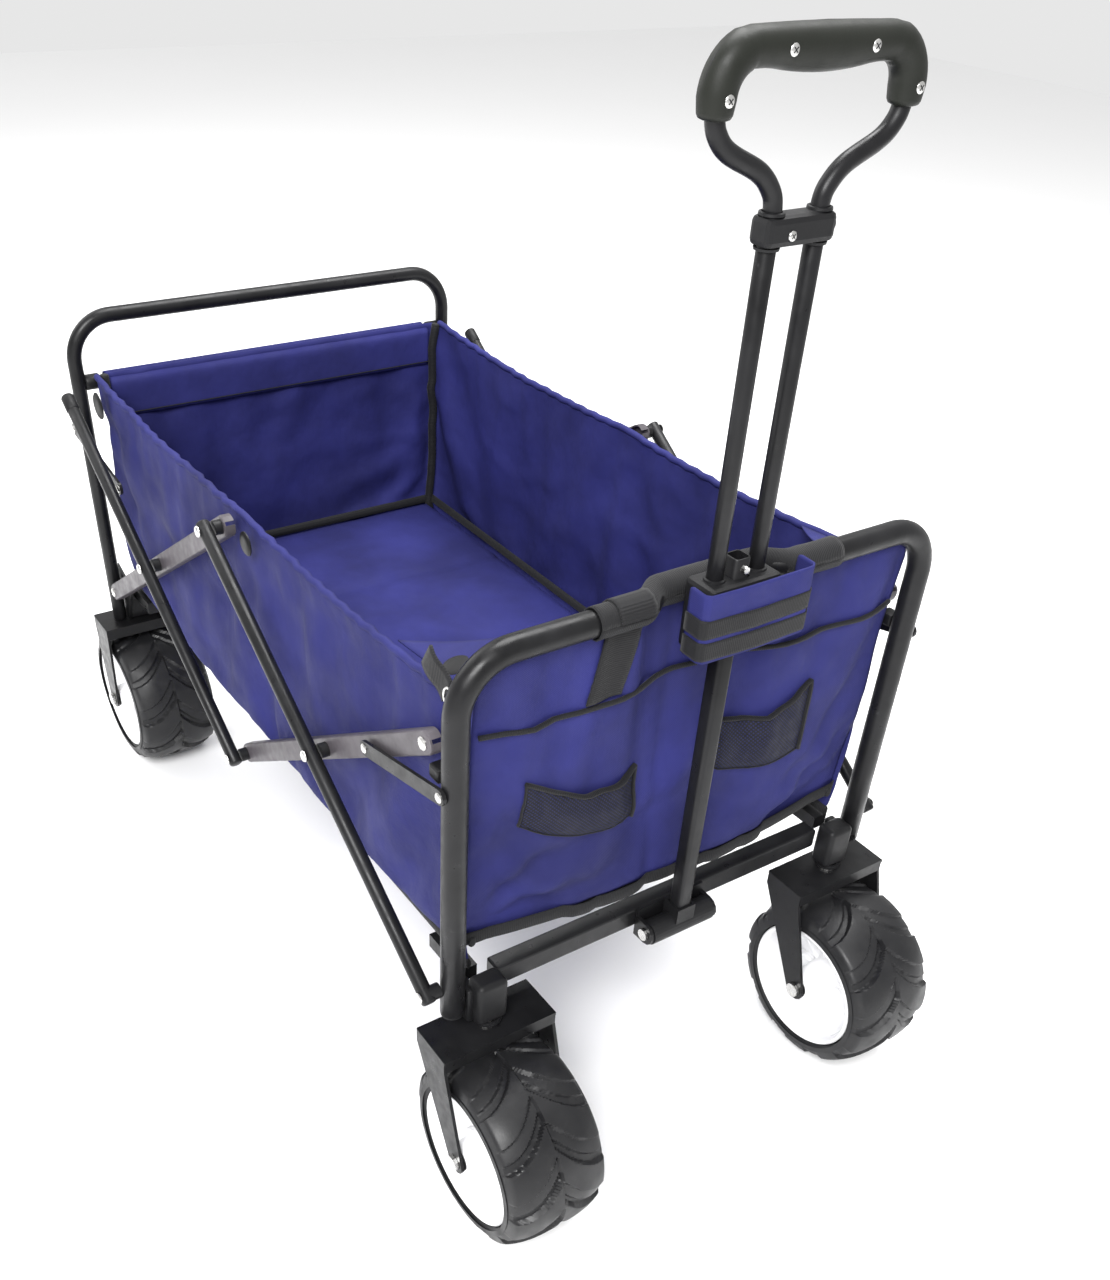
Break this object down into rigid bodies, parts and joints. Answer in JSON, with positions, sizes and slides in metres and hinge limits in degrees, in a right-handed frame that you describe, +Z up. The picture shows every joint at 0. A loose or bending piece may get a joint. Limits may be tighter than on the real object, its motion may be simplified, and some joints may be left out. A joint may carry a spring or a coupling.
{
  "type": "folding utility wagon",
  "caption": "Folding fabric wagon on a black steel scissor frame, with wide swivelling front wheels, fixed rear wheels and an upright telescoping pull handle.",
  "frame": {"origin": "on the ground under the middle of the whole wagon", "axes": "+X forward, towards the pull handle; +Y to the left; +Z up"},
  "size_m": [1.0202, 0.5226, 0.9122],
  "materials": {
    "black_paint": "satin black powder coat on steel tube",
    "grey_steel": "satin grey coat on folded steel",
    "bright_steel": "zinc-plated",
    "black_plastic": "moulded, fine grain",
    "soft_grip": "soft moulded grip",
    "tyre_rubber": "moulded tread blocks",
    "white_rim": "moulded white",
    "blue_fabric": "coated woven polyester",
    "black_webbing": "webbing, mesh and hook-and-loop tape"
  },
  "bodies": {
    "rear_frame": {"rear_frame_tube": "black_paint", "rear_crossbar": "black_paint", "rear_hem_rod": "black_paint", "rear_floor_support": "black_paint", "basket": "blue_fabric", "floor_pad": "blue_fabric", "rear_pivot_plate_right": "black_paint", "rear_pivot_plate_left": "black_paint", "rear_fork_right": "black_paint", "rear_fork_left": "black_paint", "rear_axle_right": "bright_steel", "rear_axle_left": "bright_steel"},
    "rear_wheel_right": {"rear_tyre_right": "tyre_rubber", "rear_rim_right": "white_rim"},
    "rear_flat_bar_right": {"rear_flat_bar_right": "grey_steel"},
    "front_round_bar_right": {"front_round_bar_right": "black_paint"},
    "rear_round_bar_right": {"rear_round_bar_right": "black_paint"},
    "front_flat_bar_right": {"front_flat_bar_right": "grey_steel"},
    "rear_link_right": {"rear_link_right": "black_paint"},
    "front_link_right": {"front_link_right": "black_paint"},
    "caster_right": {"caster_fork_right": "black_paint", "king_pin_right": "bright_steel", "caster_axle_right": "bright_steel"},
    "front_wheel_right": {"front_tyre_right": "tyre_rubber", "front_rim_right": "white_rim"},
    "rear_wheel_left": {"rear_tyre_left": "tyre_rubber", "rear_rim_left": "white_rim"},
    "rear_flat_bar_left": {"rear_flat_bar_left": "grey_steel"},
    "front_round_bar_left": {"front_round_bar_left": "black_paint"},
    "rear_round_bar_left": {"rear_round_bar_left": "black_paint"},
    "front_flat_bar_left": {"front_flat_bar_left": "grey_steel"},
    "rear_link_left": {"rear_link_left": "black_paint"},
    "front_link_left": {"front_link_left": "black_paint"},
    "caster_left": {"caster_fork_left": "black_paint", "king_pin_left": "bright_steel", "caster_axle_left": "bright_steel"},
    "front_wheel_left": {"front_tyre_left": "tyre_rubber", "front_rim_left": "white_rim"},
    "front_frame": {"front_frame_tube": "black_paint", "front_axle_beam": "black_paint", "front_floor_support": "black_paint", "handle_bracket": "black_paint", "handle_pivot_pin": "bright_steel", "handle_flap": "black_webbing", "caster_bracket_right": "black_plastic", "caster_bracket_left": "black_plastic", "front_catch_right": "black_plastic", "front_catch_left": "black_plastic"},
    "handle_lower": {"handle_pivot_sleeve": "black_plastic", "handle_lower_tube": "black_paint"},
    "snap_button": {"snap_button": "bright_steel"},
    "handle_slider": {"handle_block": "black_plastic", "handle_rod_right": "black_paint", "handle_rod_left": "black_paint", "handle_bridge": "black_plastic", "handle_loop": "black_paint", "handle_grip": "soft_grip"}
  },
  "joints": [
    {"name": "fold", "type": "hinge", "parent": "rear_frame", "child": "rear_flat_bar_right", "pos_m": [-0.4, -0.23, 0.2455], "axis": [0, -1, 0], "range_deg": [0, 42.3], "deforming": ["basket", "floor_pad"]},
    {"name": "mid_high_right", "type": "hinge", "parent": "rear_flat_bar_right", "child": "front_round_bar_right", "pos_m": [-0.0165, -0.2525, 0.4915], "axis": [0, -1, 0], "range_deg": [-84.6, 0]},
    {"name": "rear_crossing_right", "type": "hinge", "parent": "rear_flat_bar_right", "child": "rear_round_bar_right", "pos_m": [-0.20825, -0.2525, 0.3685], "axis": [0, -1, 0], "range_deg": [-84.6, 0]},
    {"name": "front_crossing_right", "type": "hinge", "parent": "front_round_bar_right", "child": "front_flat_bar_right", "pos_m": [0.17525, -0.2525, 0.3685], "axis": [0, -1, 0], "range_deg": [0, 84.6]},
    {"name": "rear_link_pivot_right", "type": "hinge", "parent": "rear_frame", "child": "rear_link_right", "pos_m": [-0.4215, -0.23, 0.4385], "axis": [0, -1, 0], "range_deg": [0, 73.48]},
    {"name": "front_link_pivot_right", "type": "hinge", "parent": "front_frame", "child": "front_link_right", "pos_m": [0.3715, -0.23, 0.4479], "axis": [0, -1, 0], "range_deg": [-84.74, 0]},
    {"name": "low_front_right", "type": "hinge", "parent": "front_round_bar_right", "child": "front_frame", "pos_m": [0.367, -0.2525, 0.2455], "axis": [0, -1, 0], "range_deg": [0, 42.3]},
    {"name": "rear_wheel_spin_right", "type": "hinge", "parent": "rear_frame", "child": "rear_wheel_right", "pos_m": [-0.4215, -0.2, 0.0886], "axis": [0, 1, 0], "continuous": true},
    {"name": "caster_swivel_right", "type": "hinge", "parent": "front_frame", "child": "caster_right", "pos_m": [0.3795, -0.2, 0.198], "axis": [0, 0, 1], "continuous": true},
    {"name": "front_wheel_spin_right", "type": "hinge", "parent": "caster_right", "child": "front_wheel_right", "pos_m": [0.4215, -0.2, 0.0886], "axis": [0, 1, 0], "continuous": true},
    {"name": "fold_left", "type": "hinge", "parent": "rear_frame", "child": "rear_flat_bar_left", "pos_m": [-0.4, 0.23, 0.2455], "axis": [0, -1, 0], "range_deg": [0, 42.3]},
    {"name": "mid_high_left", "type": "hinge", "parent": "rear_flat_bar_left", "child": "front_round_bar_left", "pos_m": [-0.0165, 0.2525, 0.4915], "axis": [0, -1, 0], "range_deg": [-84.6, 0]},
    {"name": "rear_crossing_left", "type": "hinge", "parent": "rear_flat_bar_left", "child": "rear_round_bar_left", "pos_m": [-0.20825, 0.2525, 0.3685], "axis": [0, -1, 0], "range_deg": [-84.6, 0]},
    {"name": "front_crossing_left", "type": "hinge", "parent": "front_round_bar_left", "child": "front_flat_bar_left", "pos_m": [0.17525, 0.2525, 0.3685], "axis": [0, -1, 0], "range_deg": [0, 84.6]},
    {"name": "rear_link_pivot_left", "type": "hinge", "parent": "rear_frame", "child": "rear_link_left", "pos_m": [-0.4215, 0.23, 0.4385], "axis": [0, -1, 0], "range_deg": [0, 73.48]},
    {"name": "front_link_pivot_left", "type": "hinge", "parent": "front_frame", "child": "front_link_left", "pos_m": [0.3715, 0.23, 0.4479], "axis": [0, -1, 0], "range_deg": [-84.74, 0]},
    {"name": "rear_wheel_spin_left", "type": "hinge", "parent": "rear_frame", "child": "rear_wheel_left", "pos_m": [-0.4215, 0.2, 0.0886], "axis": [0, 1, 0], "continuous": true},
    {"name": "caster_swivel_left", "type": "hinge", "parent": "front_frame", "child": "caster_left", "pos_m": [0.3795, 0.2, 0.198], "axis": [0, 0, 1], "continuous": true},
    {"name": "front_wheel_spin_left", "type": "hinge", "parent": "caster_left", "child": "front_wheel_left", "pos_m": [0.4215, 0.2, 0.0886], "axis": [0, 1, 0], "continuous": true},
    {"name": "handle_tilt", "type": "hinge", "parent": "front_frame", "child": "handle_lower", "pos_m": [0.385, 0, 0.224], "axis": [0, 1, 0], "range_deg": [0, 100], "deforming": ["handle_flap"]},
    {"name": "handle_telescope", "type": "slide", "parent": "handle_lower", "child": "handle_slider", "axis": [0, 0, 1], "range_m": [-0.2, 0]},
    {"name": "snap_button_press", "type": "slide", "parent": "handle_lower", "child": "snap_button", "axis": [-1, 0, 0], "range_m": [0, 0.003], "stiffness_N_per_m": 600}
  ],
  "couplings": [
    {"joint": "mid_high_right", "follows": "fold", "ratio": -2},
    {"joint": "rear_crossing_right", "follows": "fold", "ratio": -2},
    {"joint": "front_crossing_right", "follows": "fold", "ratio": 2},
    {"joint": "rear_link_pivot_right", "follows": "fold", "ratio": 1.7252},
    {"joint": "front_link_pivot_right", "follows": "fold", "ratio": -1.9914},
    {"joint": "low_front_right", "follows": "fold", "ratio": 1},
    {"joint": "fold_left", "follows": "fold", "ratio": 1},
    {"joint": "mid_high_left", "follows": "fold", "ratio": -2},
    {"joint": "rear_crossing_left", "follows": "fold", "ratio": -2},
    {"joint": "front_crossing_left", "follows": "fold", "ratio": 2},
    {"joint": "rear_link_pivot_left", "follows": "fold", "ratio": 1.7252},
    {"joint": "front_link_pivot_left", "follows": "fold", "ratio": -1.9914}
  ]
}
